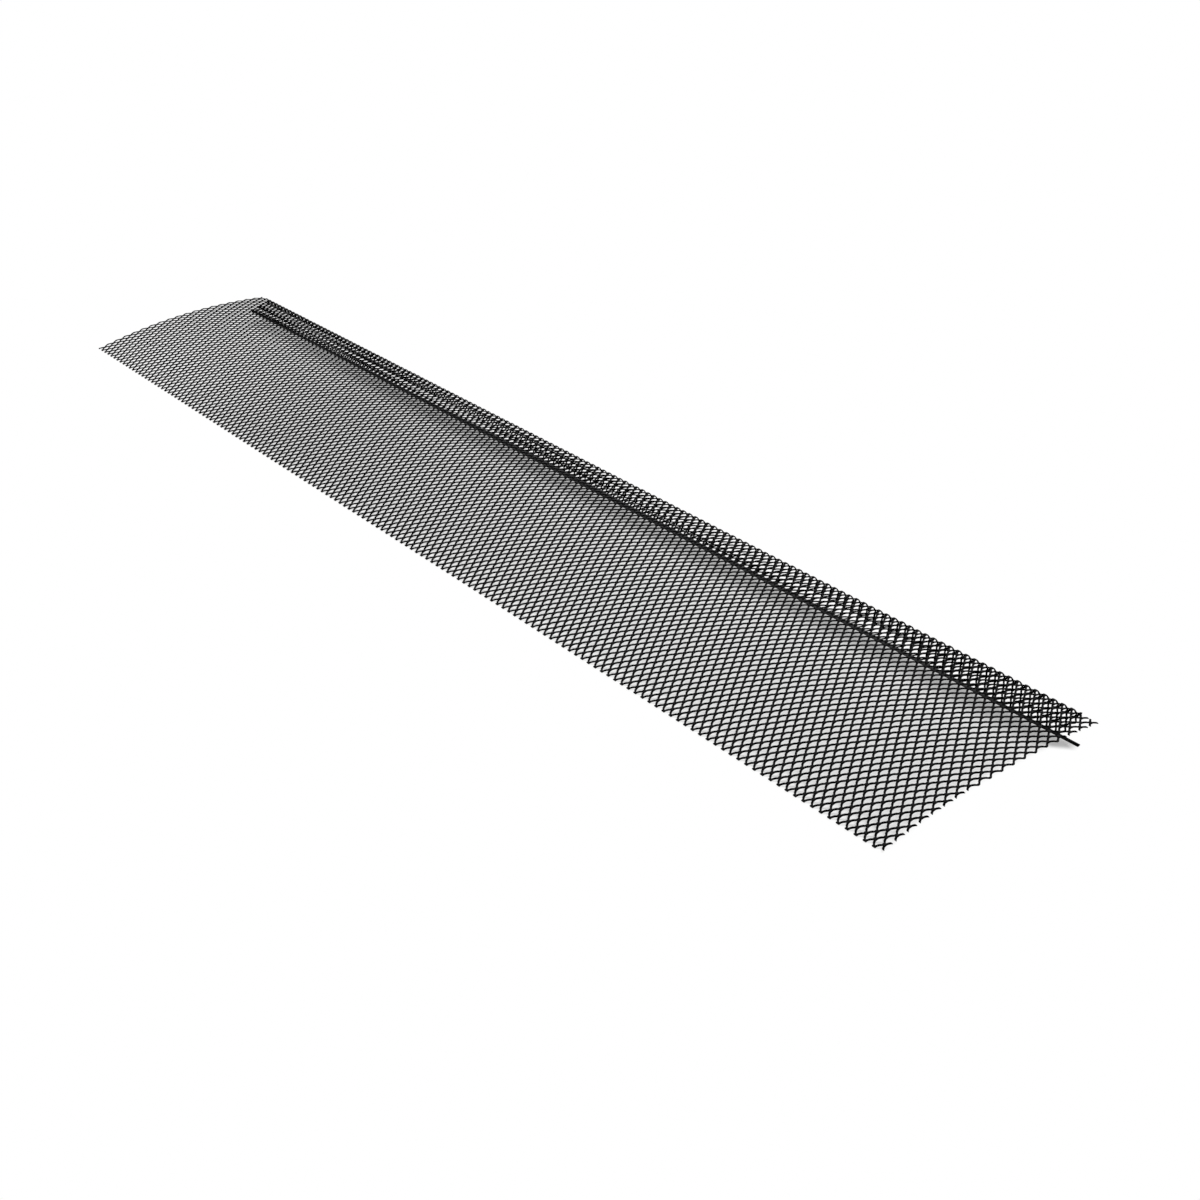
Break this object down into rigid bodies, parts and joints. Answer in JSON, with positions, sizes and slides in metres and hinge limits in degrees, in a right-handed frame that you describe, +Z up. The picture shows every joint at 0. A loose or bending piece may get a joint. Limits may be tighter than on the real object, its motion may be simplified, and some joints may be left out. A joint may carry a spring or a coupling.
{
  "type": "gutter guard",
  "caption": "Bowed strip of black-coated expanded steel mesh with one long edge folded under into a hook, laid over a rain gutter to keep leaves out.",
  "frame": {"origin": "on the floor under the middle of the guard's outline, as it lies unheld", "axes": "+X along the guard, +Y across it from the plain edge to the fold, +Z up"},
  "size_m": [0.915, 0.1556, 0.0112],
  "materials": {
    "coated_steel": "satin black powder coat"
  },
  "bodies": {
    "root": {"panel_front_1": "coated_steel", "panel_front_2": "coated_steel", "panel_front_3": "coated_steel", "panel_front_4": "coated_steel", "panel_front_5": "coated_steel", "panel_front_6": "coated_steel", "panel_front_7": "coated_steel", "panel_front_8": "coated_steel", "panel_front_9": "coated_steel", "panel_front_10": "coated_steel", "panel_rear_1": "coated_steel", "panel_rear_2": "coated_steel", "panel_rear_3": "coated_steel", "panel_rear_4": "coated_steel", "panel_rear_5": "coated_steel", "panel_rear_6": "coated_steel", "panel_rear_7": "coated_steel", "panel_rear_8": "coated_steel", "panel_rear_9": "coated_steel", "panel_rear_10": "coated_steel", "hook_1": "coated_steel", "hook_2": "coated_steel"}
  },
  "joints": []
}
